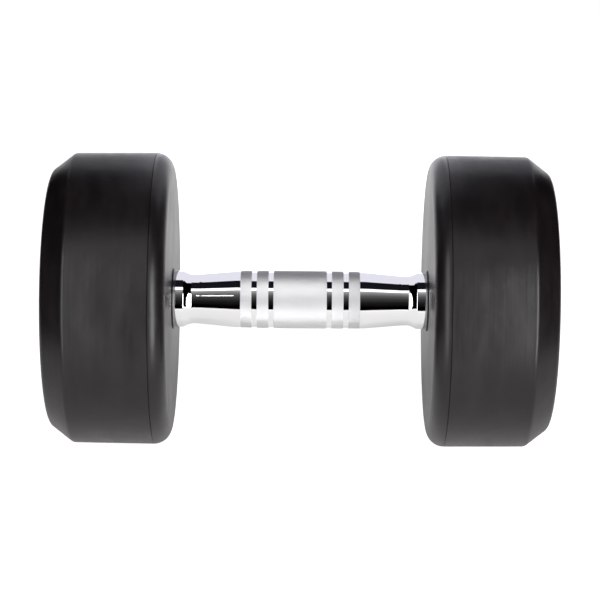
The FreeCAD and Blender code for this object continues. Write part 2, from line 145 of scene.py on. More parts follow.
# %% [markdown]
# ## The studio
# Chrome shows the room more than itself, so the room is laid out as the reflections in the
# photograph tell: a white table, a white card that leans behind the dumbbell, a dark gap
# overhead, a narrow light above the camera, a tall softbox on each side of it and a short tube
# between them. Angles to a lamp are given in the way in which the bar reflects them: how far
# round the bar's axis, from the front horizon over the top to the back, and how far off to the
# side. Every lamp faces the dumbbell and stays out of the picture. A picture of a studio, wrapped
# round the scene, could light it too, but single lamps can each be put where their reflection
# belongs.

# %% Lamps
LAMP_TINT = "#FFFFFF"
CARD_TINT = "#F5F5FF"
# name, degrees round the bar, degrees sideways, metres away, degrees tall, degrees wide, brightness
SOFTBOXES = (
    ("softbox_left", 26, -30, 1.0, 72, 15, 6.6),
    ("softbox_right", 17, 32, 1.0, 62, 18, 11.0),
    ("light_overhead", 72, 0, 1.3, 11, 34, 1.5),
    ("small_tube", 44, -12, 1.5, 1.6, 5, 6.0),
)


def lamp(name, place, direction, upright, size, brightness, tint):
    """A rectangular lamp that shines against its direction. Its brightness is what a perfect
    mirror would show."""
    data = bpy.data.lights.new(name, "AREA")
    data.shape = "RECTANGLE"
    data.size, data.size_y = size
    data.energy = brightness * math.pi * data.size * data.size_y
    data.color = linear(tint)[:3]
    thing = bpy.data.objects.new(name, data)
    thing.matrix_world = Matrix((upright.cross(direction), upright, direction)).transposed().to_4x4()
    thing.location = place
    thing.visible_camera = False
    bpy.context.collection.objects.link(thing)


def softbox(name, around, sideways, distance, tall, wide, brightness):
    """A lamp in one of the directions that the bar reflects, with its size as angles."""
    turn, lean = math.radians(around), math.radians(sideways)
    upright = Vector((0, math.sin(turn), math.cos(turn)))
    flat = math.cos(lean)
    direction = Vector((math.sin(lean), -flat * math.cos(turn), flat * math.sin(turn)))
    size = [2 * distance * math.tan(math.radians(angle / 2)) for angle in (wide, tall)]
    lamp(name, direction * distance, direction, upright, size, brightness, LAMP_TINT)


for row in SOFTBOXES:
    softbox(*row)
print("lamps:", [row[0] for row in SOFTBOXES])

# %% [markdown]
# The white card leans behind the dumbbell. The chrome shows it as the pale band along its top, and
# it lights the inner faces of the heads. It is made of three strips. The middle one stands further
# back, so that the round corners of the heads and the flares of the bar see past its ends and stay
# dark, and the two outer ones stand close behind the heads and are dimmer. Top and foot are
# measured from the point of a strip's plane that is nearest to the bar's axis.

# %% Lean the white card
CARD_LEAN = 138.0
# in mm: middle along the bar, width, distance of the plane from the axis, top, foot; brightness
CARD_STRIPS = (
    (-112.5, 75, 90, 52, 150, 0.60),
    (0, 190, 210, 118, 297, 0.92),
    (112.5, 75, 90, 52, 150, 0.60),
)

turn = math.radians(CARD_LEAN)
card_direction = Vector((0, -math.cos(turn), math.sin(turn)))
card_upright = Vector((0, math.sin(turn), math.cos(turn)))
for along, width, reach, top, foot, brightness in CARD_STRIPS:
    place = (card_direction * reach + card_upright * (foot - top) / 2 + Vector((along, 0, 0))) * MM
    size = (width * MM, (top + foot) * MM)
    lamp("card", place, card_direction, card_upright, size, brightness, CARD_TINT)
print("the card is", sum(strip[1] for strip in CARD_STRIPS), "mm long")

# %% [markdown]
# Behind the camera a strip of wall is lit from above and fades towards the floor, which the chrome
# shows as a soft gradient under its bright line. A lamp has no gradient, so the wall is a ramp in
# the world's colour. The ceiling is faintly blue, which keeps the gap overhead from pure black,
# and the rest of the room is dark. The camera itself sees plain white in every direction.

# %% Paint the room
# Each stop of the wall is a height, as the sine of the angle over the horizon, and a brightness.
WALL_HALF_WIDTH = 0.24
WALL_GLOW = ((0.0, 0.0), (0.34, 0.012), (0.57, 0.045), (0.72, 0.10), (0.82, 0.21), (0.92, 0.46))
CEILING_FROM, CEILING_TINT = 0.94, "#15161C"

world = bpy.data.worlds.new("studio")
bpy.context.scene.world = world
world.use_nodes = True
tree = world.node_tree
tree.nodes.clear()
direction = add(tree, "SeparateXYZ", {0: add(tree, "TexCoord").outputs["Generated"]}).outputs
glow = add(tree, "ValToRGB", {"Fac": direction["Z"]})
ramp = glow.color_ramp
ramp.elements.remove(ramp.elements[1])
for height, value in WALL_GLOW:
    stop = ramp.elements.new(height)
    stop.color = (value, value, value, 1.0)
ramp.elements.remove(ramp.elements[0])
ramp.elements.new(CEILING_FROM).color = linear(CEILING_TINT)
ahead = add(tree, "Math", {0: direction["Y"], 1: 0.0}, operation="LESS_THAN").outputs[0]
off_side = add(tree, "Math", {0: direction["X"]}, operation="ABSOLUTE").outputs[0]
near = add(tree, "Math", {0: off_side, 1: WALL_HALF_WIDTH}, operation="LESS_THAN").outputs[0]
wall = add(tree, "Math", {0: ahead, 1: near}, operation="MULTIPLY").outputs[0]
ceiling = add(tree, "Math", {0: direction["Z"], 1: CEILING_FROM}, operation="GREATER_THAN")
ceiling = ceiling.outputs[0]
lit = add(tree, "Math", {0: wall, 1: ceiling}, operation="MAXIMUM").outputs[0]
room = add(tree, "Background", {"Color": glow.outputs["Color"], "Strength": lit})
white = add(tree, "Background", {"Color": linear("#FFFFFF"), "Strength": 1.0})
ray = add(tree, "LightPath").outputs["Is Camera Ray"]
seen = add(tree, "MixShader", {0: ray, 1: room.outputs[0], 2: white.outputs[0]})
add(tree, "OutputWorld", {"Surface": seen.outputs[0]})
print("the wall's brightness rises from", WALL_GLOW[0][1], "to", WALL_GLOW[-1][1])

# %% [markdown]
# The table is a plain white sheet that just touches the heads from below. To the camera most of
# its white is its own, so that it stays white to its edge, and the rest is lit, so that the shadow
# of the dumbbell stays. In the chrome and the rubber less of its front part is its own, so there
# it darkens towards the dumbbell as lit paper does. It ends where its reflection ends in the
# photograph. More light on a white sheet would do as much for the camera, but it would wash out
# the rubber too.
# Behind the dumbbell its own white in the chrome and the rubber is much stronger: a painted pool of
# light, as if a lamp fell on the sheet there.

# %% Lay the table
# The sheet's edges, and where its own white in reflections rises from front to behind, are in
# metres. The higher white behind is painted light.
TABLE_FRONT, TABLE_BACK, TABLE_SIDE = -0.41, 2.4, 0.42
TABLE_TINT = "#D6D4D1"
# In reflections the sheet glows much more behind the dumbbell than in front: painted light.
TABLE_WHITE_SEEN, TABLE_WHITE_FRONT, TABLE_PAINTED_LIGHT_BEHIND = 0.86, 0.35, 0.9
TABLE_PAINTED_LIGHT_RAMP = (0.05, 0.15)


def white_paper():
    """Paper that is lit like any other, with some white of its own, which in reflections rises
    behind the dumbbell as a painted pool of light.
    """
    material = bpy.data.materials.new("white_paper")
    material.use_nodes = True
    tree = material.node_tree
    tree.nodes.clear()
    path = add(tree, "LightPath").outputs
    behind = add(tree, "SeparateXYZ", {0: add(tree, "TexCoord").outputs["Object"]}).outputs["Y"]
    # The glow in reflections ramps up behind the dumbbell: a painted pool of light.
    own = add(tree, "MapRange", {
        "Value": behind, "From Min": TABLE_PAINTED_LIGHT_RAMP[0], "From Max": TABLE_PAINTED_LIGHT_RAMP[1],
        "To Min": TABLE_WHITE_FRONT, "To Max": TABLE_PAINTED_LIGHT_BEHIND}).outputs[0]
    mirrored = add(tree, "Math", {0: path["Is Glossy Ray"], 1: own}, operation="MULTIPLY")
    seen = add(tree, "Math", {0: path["Is Camera Ray"], 1: TABLE_WHITE_SEEN}, operation="MULTIPLY")
    share = add(tree, "Math", {0: seen.outputs[0], 1: mirrored.outputs[0]}, operation="MAXIMUM")
    glow = add(tree, "Emission", {"Color": linear("#FFFFFF"), "Strength": share.outputs[0]})
    paper = add(tree, "BsdfDiffuse", {"Color": linear(TABLE_TINT)})
    both = add(tree, "AddShader", {0: glow.outputs[0], 1: paper.outputs[0]})
    add(tree, "OutputMaterial", {"Surface": both.outputs[0]})
    return material


def lay_table():
    """A sheet at the height of the lowest point of the heads."""
    bm = bmesh.new()
    bmesh.ops.create_grid(bm, x_segments=1, y_segments=1, size=1)
    bmesh.ops.scale(bm, vec=(TABLE_SIDE, (TABLE_BACK - TABLE_FRONT) / 2, 1), verts=bm.verts)
    middle = (0, (TABLE_BACK + TABLE_FRONT) / 2, cad_box[0][2])
    bmesh.ops.translate(bm, vec=middle, verts=bm.verts)
    mesh = bpy.data.meshes.new("table")
    bm.to_mesh(mesh)
    bm.free()
    table = bpy.data.objects.new("table", mesh)
    bpy.context.collection.objects.link(table)
    mesh.materials.append(white_paper())


lay_table()
print("the table's top is at", round(cad_box[0][2] / MM, 2), "mm")

# %% [markdown]
# ## Helpers for turned pieces
# Everything that shows on this dumbbell was turned or moulded round the bar's axis. It could be
# put together from cylinders and cones, but then each joint would need a rounding of its own, so
# each piece is half a section spun about X. A section is a list of corners: place along the bar,
# distance from the axis, and how far back along both sides the corner's rounding starts.

# %% Draw and spin a section
SAME_PLACE = 1e-4
ROUND_SEGMENTS = 8


def rounding(radius, degrees):
    """How far back from a corner that turns by so many degrees an arc of this radius starts."""
    return radius * math.tan(math.radians(degrees / 2))


def arc(centre, radius, start, end, steps):
    """Points on part of a circle, by their directions from its centre in degrees."""
    angles = [math.radians(start + (end - start) * step / steps) for step in range(steps + 1)]
    return [(centre[0] + radius * math.cos(a), centre[1] + radius * math.sin(a)) for a in angles]


def draw_section(bm, corners, closed, segments=ROUND_SEGMENTS):
    """Joins the corners by edges, and rounds the ones that ask for it."""
    points = [bm.verts.new((along, 0, out)) for along, out, *_ in corners]
    pairs = list(zip(points, points[1:])) + ([(points[-1], points[0])] if closed else [])
    for pair in pairs:
        bm.edges.new(pair)
    for point, (_, _, *back) in zip(points, corners):
        if back:
            bmesh.ops.bevel(bm, geom=[point], affect="VERTICES", offset=back[0],
                            offset_type="OFFSET", segments=segments, profile=0.5, material=-1)


def spin_section(bm, steps):
    """Spins all edges once round the bar's axis and closes the seam and the poles."""
    bmesh.ops.spin(bm, geom=bm.verts[:] + bm.edges[:], cent=(0, 0, 0), axis=(1, 0, 0),
                   angle=2 * math.pi, steps=steps, use_merge=True)
    bmesh.ops.remove_doubles(bm, verts=bm.verts, dist=SAME_PLACE)
    bmesh.ops.recalc_face_normals(bm, faces=bm.faces)


print("a 3 mm arc at a corner of 90 degrees starts", round(rounding(3, 90), 2), "mm back")

# %% [markdown]
# A shape is drawn in millimetres and becomes an object in metres, with its place in its mesh, so
# that the object itself stays at the origin. Its faces are shaded smooth, except across edges
# that turn by more than an angle, which stay sharp. A finished piece then goes with the whole
# dumbbell, and the pieces of the frame that it stands for are hidden.

# %% Make objects and pieces
SHARP_ANGLE = 30


def smooth(mesh, sharp_angle):
    """Shades a mesh smooth but for the edges that turn by more than this."""
    for polygon in mesh.polygons:
        polygon.use_smooth = True
    mesh.set_sharp_from_angle(angle=math.radians(sharp_angle))


def make_object(bm, name):
    """Turns a shape drawn in millimetres into an object in metres with its place in its mesh."""
    bmesh.ops.scale(bm, vec=(MM, MM, MM), verts=bm.verts)
    mesh = bpy.data.meshes.new(name)
    bm.to_mesh(mesh)
    bm.free()
    smooth(mesh, SHARP_ANGLE)
    thing = bpy.data.objects.new(name, mesh)
    bpy.context.collection.objects.link(thing)
    return thing


def make_piece(thing, slot, *nodes):
    """Hangs a finished piece on the whole dumbbell and hides the CAD nodes that it stands for."""
    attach(thing, "root")
    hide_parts(*nodes)
    print(thing.name, "has", sum(len(p.vertices) - 2 for p in thing.data.polygons), "triangles")


print("edges that turn by more than", SHARP_ANGLE, "degrees stay sharp")

# %% [markdown]
# ## The chrome bar
# One bar of steel, turned to a gently crowned barrel with a taper, a neck, a flare and a collar
# at each end, then knurled, and last grooved with four smooth bands. Beyond each collar a thinner
# spigot, with a tapped hole, carries the head. Here the turned shape is spun without its knurls,
# down to the floor of the smooth bands. The flare is an arc, because its hollow curve is what
# bends the reflections there, and straight steps would show in the chrome.

# %% Sizes of the bar
BARREL_RADIUS = 16.0
BARREL_CROWN = 0.28
BARREL_END = 34.6
KNURL_EDGES = ((-14.6, 14.6), (17.5, 23.9), (26.8, 32.85), (-23.9, -17.5), (-32.85, -26.8))
OUTER_EDGE = KNURL_EDGES[2][1]
BAND_FLOOR = 15.47
TAPER_START, TAPER_START_ROUND = 36.4, 1.8
NECK, NECK_RADIUS, NECK_ROUND = 56.9, 13.83, 1.4
FLARE_START, FLARE_RADIUS, FLARE_SLOPES, FLARE_STEPS = 60.1, 20.3, (16.5, 30.0), 10
COLLAR_RADIUS, COLLAR_ROUND = 15.7, 0.6
SHOULDER = 74.95
SPIGOT_RADIUS, SPIGOT_ROUND = 12.5, 0.7
TAPPED_RADIUS, TAPPED_FLOOR, DRILL_POINT = 8.1, 70.65, 65.78
TURNED_STEPS = 256

right_jacket_low, right_jacket_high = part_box("right_rubber_jacket")
INNER_FACE = right_jacket_low[0] / MM
OUTER_FACE = right_jacket_high[0] / MM
HEAD_RADIUS = right_jacket_high[2] / MM
BAR_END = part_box("handle")[1][0] / MM


def crest(along):
    """The barrel's radius over the tips of the knurl."""
    return BARREL_RADIUS - BARREL_CROWN * (along / BARREL_END) ** 2


steepness = math.radians(FLARE_SLOPES[0])
flare_centre = (
    FLARE_START - FLARE_RADIUS * math.sin(steepness),
    NECK_RADIUS + FLARE_RADIUS * math.cos(steepness),
)
flare = arc(flare_centre, FLARE_RADIUS, FLARE_SLOPES[0] - 90, FLARE_SLOPES[1] - 90, FLARE_STEPS)
flare_end = flare.pop()
print("the flare ends at", [round(v, 2) for v in flare_end], "mm")

# %% [markdown]
# Only the right half of the section is written down. The left half is the same list read
# backwards with its places turned round, so both ends of the bar come out alike.

# %% Spin the bar
HALF_BAR = [
    (OUTER_EDGE, BAND_FLOOR),
    (OUTER_EDGE, crest(OUTER_EDGE)),
    (TAPER_START, crest(BARREL_END), TAPER_START_ROUND),
    (NECK, NECK_RADIUS, NECK_ROUND),
    *flare,
    (flare_end[0], COLLAR_RADIUS, rounding(COLLAR_ROUND, FLARE_SLOPES[1])),
    (SHOULDER, COLLAR_RADIUS),
    (SHOULDER, SPIGOT_RADIUS),
    (BAR_END, SPIGOT_RADIUS, SPIGOT_ROUND),
    (BAR_END, TAPPED_RADIUS),
    (TAPPED_FLOOR, TAPPED_RADIUS),
    (DRILL_POINT, 0.0),
]


def spin_bar():
    """The turned bar, from one drill point round the outside to the other."""
    bm = bmesh.new()
    left_half = [(-along, *rest) for along, *rest in reversed(HALF_BAR)]
    draw_section(bm, left_half + HALF_BAR, closed=False)
    spin_section(bm, TURNED_STEPS)
    return make_object(bm, "bar_turned")


turned_bar = spin_bar()
print("the turned bar has", len(turned_bar.data.polygons), "faces")

# %% [markdown]
# Knurling presses a lattice of small pyramids into the barrel. A pattern in the material could
# draw it, but then the bands would have a smooth outline, and the mesh would have no teeth. So it
# starts flat: a grid turned by 45 degrees, each of its squares inset and raised so that it ends
# in a small flat. Cut to the length of a band and to one full turn, it is wrapped round the bar,
# and drawn in below the floor of the smooth bands so that the two make one solid.

# %% Knurl the barrel
TEETH_ROUND = 88
KNURL_DEPTH = 0.22
KNURL_FLAT_SHARE = 0.2
KNURL_ROOT = 15.2
KNURL_TURN = 2 * math.pi * BARREL_RADIUS
KNURL_PITCH = KNURL_TURN / TEETH_ROUND
CUT_SNAP, SEAM_SNAP = 1e-5, 1e-3


def knurl_band(start, end):
    """One band of knurl between two places along the bar, as a closed ring."""
    bm = bmesh.new()
    length = end - start
    cell = KNURL_PITCH / math.sqrt(2)
    cells = 2 * math.ceil((KNURL_TURN + length) / math.sqrt(2) / cell / 2) + 2
    bmesh.ops.create_grid(bm, x_segments=cells, y_segments=cells, size=cells * cell / 2)
    turn = Matrix.Rotation(math.radians(45), 3, "Z")
    bmesh.ops.rotate(bm, cent=(0, 0, 0), matrix=turn, verts=bm.verts)
    sides = [(Vector((sign, 0, 0)), KNURL_TURN / 2) for sign in (1, -1)]
    sides += [(Vector((0, sign, 0)), length / 2) for sign in (1, -1)]
    for side, reach in sides:
        spare = cell if abs(side.x) else cell + KNURL_PITCH
        outside = [f for f in bm.faces if f.calc_center_median().dot(side) > reach + spare]
        bmesh.ops.delete(bm, geom=outside, context="FACES")
    bmesh.ops.inset_individual(bm, faces=bm.faces, thickness=cell * (1 - KNURL_FLAT_SHARE) / 2,
                               depth=KNURL_DEPTH, use_even_offset=True)
    for side, reach in sides:
        bmesh.ops.bisect_plane(bm, geom=bm.verts[:] + bm.edges[:] + bm.faces[:], dist=CUT_SNAP,
                               plane_co=side * reach, plane_no=side, clear_outer=True)
    for v in bm.verts:
        around, along, height = v.co
        angle = around / BARREL_RADIUS
        place = (start + end) / 2 + along
        out = crest(place) - KNURL_DEPTH + height
        v.co = (place, out * math.sin(angle), out * math.cos(angle))
    bmesh.ops.remove_doubles(bm, verts=bm.verts, dist=SEAM_SNAP)
    drawn_in = bmesh.ops.extrude_face_region(bm, geom=bm.faces[:])["geom"]
    for v in drawn_in:
        if isinstance(v, bmesh.types.BMVert):
            shrink = KNURL_ROOT / math.hypot(v.co.y, v.co.z)
            v.co = (v.co.x, v.co.y * shrink, v.co.z * shrink)
    bmesh.ops.recalc_face_normals(bm, faces=bm.faces)
    return bm


print("knurl pitch", round(KNURL_PITCH, 3), "mm")

# %% [markdown]
# The bands are joined to the turned bar by a boolean, as if they were welded on, because a grid
# of diamonds and a spun surface share no edges that could be bridged. The two outermost bands run
# on a little into the shoulder beside them, so that no two faces lie in one plane there.

# %% Join the knurls to the bar
OVERRUN = 0.1


def join_shapes(shapes):
    """Several bmeshes as one."""
    whole = bmesh.new()
    for bm in shapes:
        mesh = bpy.data.meshes.new("part")
        bm.to_mesh(mesh)
        bm.free()
        whole.from_mesh(mesh)
        bpy.data.meshes.remove(mesh)
    return whole


def boolean(thing, tool, operation):
    """Adds or takes away a second solid, and keeps the result as the first one's own mesh."""
    cut = thing.modifiers.new(operation, "BOOLEAN")
    cut.operation = operation
    cut.solver = "MANIFOLD"
    cut.object = tool
    graph = bpy.context.evaluated_depsgraph_get()
    result = bpy.data.meshes.new_from_object(thing.evaluated_get(graph))
    thing.modifiers.clear()
    thing.data = result
    bpy.data.objects.remove(tool)


bands = []
for start, end in KNURL_EDGES:
    start -= OVERRUN if start == -OUTER_EDGE else 0
    end += OVERRUN if end == OUTER_EDGE else 0
    bands.append(knurl_band(start, end))
knurls = make_object(join_shapes(bands), "knurls")
print("the five bands have", len(knurls.data.polygons), "faces")
boolean(turned_bar, knurls, "UNION")

# %% [markdown]
# Two round keys in each end keep the heads from turning. Their holes are drilled where the bar
# and the steel core meet, so half of each hole is a groove in the end of the bar. They are taken
# away by a boolean too, just as a drill does it. The finished shape is smooth but for its real
# edges.

# %% Drill the key holes
KEY_CLEARANCE, KEY_END_GAP, DRILL_OVERRUN, DRILL_SIDES = 0.05, 0.3, 5.0, 48
BAR_SHARP_ANGLE = 15


def key_drill(side, place):
    """The drill for one key, run in from beyond the end of the bar."""
    low, high = (Vector(corner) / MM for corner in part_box(f"{side}_{place}_key_pin"))
    middle = (low + high) / 2
    outwards = math.copysign(1, middle.x)
    inner_end = min(abs(low.x), abs(high.x)) - KEY_END_GAP
    outer_end = max(abs(low.x), abs(high.x)) + DRILL_OVERRUN
    radius = (high.z - low.z) / 2 + KEY_CLEARANCE
    bm = bmesh.new()
    bmesh.ops.create_cone(bm, cap_ends=True, segments=DRILL_SIDES, radius1=radius,
                          radius2=radius, depth=outer_end - inner_end)
    turn = Matrix.Rotation(math.pi / 2, 3, "Y")
    bmesh.ops.rotate(bm, cent=(0, 0, 0), matrix=turn, verts=bm.verts)
    centre = (outwards * (inner_end + outer_end) / 2, middle.y, middle.z)
    bmesh.ops.translate(bm, vec=centre, verts=bm.verts)
    bmesh.ops.recalc_face_normals(bm, faces=bm.faces)
    return bm


drills = [key_drill(side, place) for side in ("left", "right") for place in ("upper", "lower")]
boolean(turned_bar, make_object(join_shapes(drills), "key_drills"), "DIFFERENCE")
smooth(turned_bar.data, BAR_SHARP_ANGLE)
turned_bar.name = "chrome_bar"
make_piece(turned_bar, "bar_chrome", "handle")

# %% [markdown]
# ## The rubber heads
# Each head is a steel disc in a thick skin of rubber, moulded in two halves. The corner towards
# the hand is full and round, and just outside it the mould has left a fine parting line, here a
# real groove. The rim drafts in a little towards the outside and turns into a wide chamfer. The
# skin is modelled all the way round, with the hollow that the steel disc fills, the round hole
# that the collar goes through and the mouth that holds the end cap. A small lip stands up round
# the hole, which draws the dark line where the collar goes in. A cylinder with a bevel would do
# for the outside, but a bevel rounds all its edges alike, and here each edge has its own.

# %% Sizes of the heads
CORNER_RADIUS, CORNER_END_ANGLE, CORNER_STEPS = 9.5, 95, 14
SEAM, SEAM_WIDTH, SEAM_DEPTH = 79.7, 0.5, 0.3
CHAMFER_START, CHAMFER_START_RADIUS, CHAMFER_START_ROUND = 124.55, 80.35, 3.0
CHAMFER_ANGLE = 37.5
CHAMFER_END_RADIUS, CHAMFER_END_ROUND = 70.53, 4.8
COLLAR_HOLE_RADIUS = 16.0
LIP_RADIUS, LIP_HEIGHT, LIP_ROUND = 16.8, 0.8, 0.25
CAP_MOUTH_RADIUS, CAP_MOUTH_ROUND = 42.4, 0.8
RUBBER = 4.1
print("the chamfer takes", round(HEAD_RADIUS - CHAMFER_END_RADIUS, 2), "mm off the head's radius")

# %% [markdown]
# The hollow follows the steel disc inside, with the same layer of rubber nearly all round it. The
# section is closed, so the spin gives one skin with a real thickness.

# %% Mould the jackets
HOLLOW_RADIUS, HOLLOW_ROUND = 76.25, 5.4
HOLLOW_CHAMFER_START, HOLLOW_CHAMFER_END_RADIUS = CHAMFER_START - 1.3, 68.3
HEAD_STEPS, HEAD_ROUND_SEGMENTS = 320, 12

corner_centre = (INNER_FACE + CORNER_RADIUS, HEAD_RADIUS - CORNER_RADIUS)
HEAD_SECTION = [
    (INNER_FACE - LIP_HEIGHT, COLLAR_HOLE_RADIUS, LIP_ROUND),
    (INNER_FACE - LIP_HEIGHT, LIP_RADIUS, LIP_ROUND),
    (INNER_FACE, LIP_RADIUS),
    *arc(corner_centre, CORNER_RADIUS, 180, CORNER_END_ANGLE, CORNER_STEPS),
    (SEAM, HEAD_RADIUS - SEAM_DEPTH),
    (SEAM + SEAM_WIDTH / 2, HEAD_RADIUS),
    (CHAMFER_START, CHAMFER_START_RADIUS, rounding(CHAMFER_START_ROUND, CHAMFER_ANGLE)),
    (OUTER_FACE, CHAMFER_END_RADIUS, rounding(CHAMFER_END_ROUND, 90 - CHAMFER_ANGLE)),
    (OUTER_FACE, CAP_MOUTH_RADIUS, CAP_MOUTH_ROUND),
    (OUTER_FACE - RUBBER, CAP_MOUTH_RADIUS),
    (OUTER_FACE - RUBBER, HOLLOW_CHAMFER_END_RADIUS),
    (HOLLOW_CHAMFER_START, HOLLOW_RADIUS),
    (INNER_FACE + RUBBER, HOLLOW_RADIUS, HOLLOW_ROUND),
    (INNER_FACE + RUBBER, COLLAR_HOLE_RADIUS),
]


def mould_jacket(side):
    """The rubber skin of one head. The left one is the right one turned half a turn."""
    bm = bmesh.new()
    draw_section(bm, HEAD_SECTION, closed=True, segments=HEAD_ROUND_SEGMENTS)
    spin_section(bm, HEAD_STEPS)
    if side == "left":
        turn = Matrix.Rotation(math.pi, 3, "Z")
        bmesh.ops.rotate(bm, cent=(0, 0, 0), matrix=turn, verts=bm.verts)
    piece = make_object(bm, f"{side}_moulded_jacket")
    make_piece(piece, "jacket_rubber", f"{side}_rubber_jacket")
    return piece


jackets = [mould_jacket(side) for side in ("left", "right")]

# %% [markdown]
# A spun metal disc closes the outer face of each head. It has a rolled edge and a plain, bare
# field, pressed in a little inside a border. The frame's own disc is coarse round its edge, which
# shows in polished metal, so the cap is spun again with more steps. Its front and its back each
# end in a point on the axis, where the spin closes them.

# %% Spin the end caps
CAP_EDGE_ROUND, CAP_BACK_ROUND = 0.8, 0.2
CAP_BORDER, CAP_FIELD_DEPTH, CAP_FIELD_ROUND = 5.0, 0.4, 0.15
CAP_STEPS, CAP_ROUND_SEGMENTS = 192, 6


def spin_cap(side):
    """One end cap, from its place and its size in the model."""
    low, high = (Vector(corner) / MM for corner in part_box(f"{side}_end_cap"))
    inner, outer = sorted((low.x, high.x), key=abs)
    outwards = math.copysign(1, outer)
    radius = high.z
    field = radius - CAP_BORDER
    floor = outer - outwards * CAP_FIELD_DEPTH
    bm = bmesh.new()
    draw_section(bm, [
        (inner, 0.0),
        (inner, radius, CAP_BACK_ROUND),
        (outer, radius, CAP_EDGE_ROUND),
        (outer, field, CAP_FIELD_ROUND),
        (floor, field - CAP_FIELD_DEPTH, CAP_FIELD_ROUND),
        (floor, 0.0),
    ], closed=False, segments=CAP_ROUND_SEGMENTS)
    spin_section(bm, CAP_STEPS)
    piece = make_object(bm, f"{side}_spun_cap")
    make_piece(piece, "cap_aluminium", f"{side}_end_cap")
    return piece


end_caps = [spin_cap(side) for side in ("left", "right")]

# %% [markdown]
# ## Finishes
# Every finish starts in the same way: one principled shader, and the place of each point in
# millimetres, so that a pattern's scale is a number of features to the millimetre. What comes
# off a lathe carries its marks as rings, so a second set of places gives only how far along the
# bar's axis a point is and how far out from it.

# %% Start a finish


def start_finish(name, colour, metallic=0.0):
    """A new material with its tree, its shader, and the places and the turned places in mm."""
    material = bpy.data.materials.new(name)
    material.use_nodes = True
    tree = material.node_tree
    shader = tree.nodes["Principled BSDF"]
    shader.inputs["Base Color"].default_value = linear(colour)
    shader.inputs["Metallic"].default_value = metallic
    metres = add(tree, "TexCoord").outputs["Object"]
    place = add(tree, "VectorMath", {0: metres, 1: (1 / MM,) * 3}, operation="MULTIPLY").outputs[0]
    parts = add(tree, "SeparateXYZ", {0: place}).outputs
    flat = add(tree, "CombineXYZ", {1: parts["Y"], 2: parts["Z"]}).outputs[0]
    out = add(tree, "VectorMath", {0: flat}, operation="LENGTH").outputs["Value"]
    turned = add(tree, "CombineXYZ", {0: parts["X"], 1: out}).outputs[0]
    return material, tree, shader, place, turned


def wear(thing, material):
    """Gives a whole piece one finish."""
    thing.data.materials.clear()
    thing.data.materials.append(material)
    print(thing.name, "wears", material.name)


print("patterns are scaled by", 1 / MM, "to the metre")

# %% [markdown]
# The bar is plated with nickel and a thin coat of chrome over turned and polished steel. It
# mirrors the room, a little wavy where it was polished, with faint rings left from the lathe and
# a haze of fingerprints. The teeth of the knurl are pressed, not polished, so they are duller.
# Two materials could meet at the bands, but their border would have to follow the edges of the
# teeth, so one material finds the bands by their places along the bar. Real lathe marks are too
# fine to show, and the rings here are several times as coarse.

# %% Chrome plating
CHROME, KNURL_CHROME = "#F4F4F6", "#D3D3D5"
KNURL_ROUGHNESS, RAMP_REACH = 0.5, 40.0
material, tree, shader, place, turned = start_finish("chrome_plating", CHROME, metallic=1.0)
along = add(tree, "SeparateXYZ", {0: place}).outputs["X"]
from_middle = add(tree, "Math", {0: along}, operation="ABSOLUTE").outputs[0]
share = add(tree, "Math", {0: from_middle, 1: 1 / RAMP_REACH}, operation="MULTIPLY").outputs[0]
knurled = add(tree, "ValToRGB", {"Fac": share})
ramp = knurled.color_ramp
ramp.interpolation = "CONSTANT"
ramp.elements.remove(ramp.elements[1])
ramp.elements[0].color = (1, 1, 1, 1)
for number, edge in enumerate(sorted({abs(edge) for band in KNURL_EDGES for edge in band})):
    value = number % 2
    ramp.elements.new(edge / RAMP_REACH).color = (value, value, value, 1)

prints = add(tree, "TexNoise", {
    "Vector": place, "Scale": 0.12, "Detail": 4, "Roughness": 0.6}).outputs[0]
haze = add(tree, "MapRange", {
    "Value": prints, "From Min": 0.4, "From Max": 0.7, "To Min": 0.025, "To Max": 0.06})
dull = add(tree, "Mix", {0: knurled.outputs[0], 2: haze.outputs[0], 3: KNURL_ROUGHNESS})
tree.links.new(dull.outputs[0], shader.inputs["Roughness"])
plating = {0: knurled.outputs[0], 6: linear(CHROME), 7: linear(KNURL_CHROME)}
colour = add(tree, "Mix", plating, data_type="RGBA")
tree.links.new(colour.outputs[2], shader.inputs["Base Color"])

waves = add(tree, "TexNoise", {"Vector": place, "Scale": 0.08, "Detail": 1}).outputs[0]
rings = add(tree, "TexNoise", {"Vector": turned, "Scale": 2.0, "Detail": 2}).outputs[0]
wavy = add(tree, "Bump", {"Height": waves, "Distance": 0.03 * MM, "Strength": 1.0})
ringed = add(tree, "Bump", {
    "Height": rings, "Distance": 0.0005 * MM, "Strength": 1.0, "Normal": wavy.outputs[0]})
tree.links.new(ringed.outputs[0], shader.inputs["Normal"])
wear(turned_bar, material)

# %% [markdown]
# The heads' rubber is moulded in a polished steel mould. It is close to black, with a soft
# sheen, a very fine grain, and here and there a faint bloom where it was wiped or where the
# rubber flowed together. Bloom and wipes run round the head, so their pattern is drawn out, and
# it drives the colour and the sheen together, because wiping changes both. The mould's turning
# leaves faint rings, and the rubber's shrinking leaves slow swells. A real grain would be too
# fine to show, so it is drawn about a millimetre wide and very shallow.

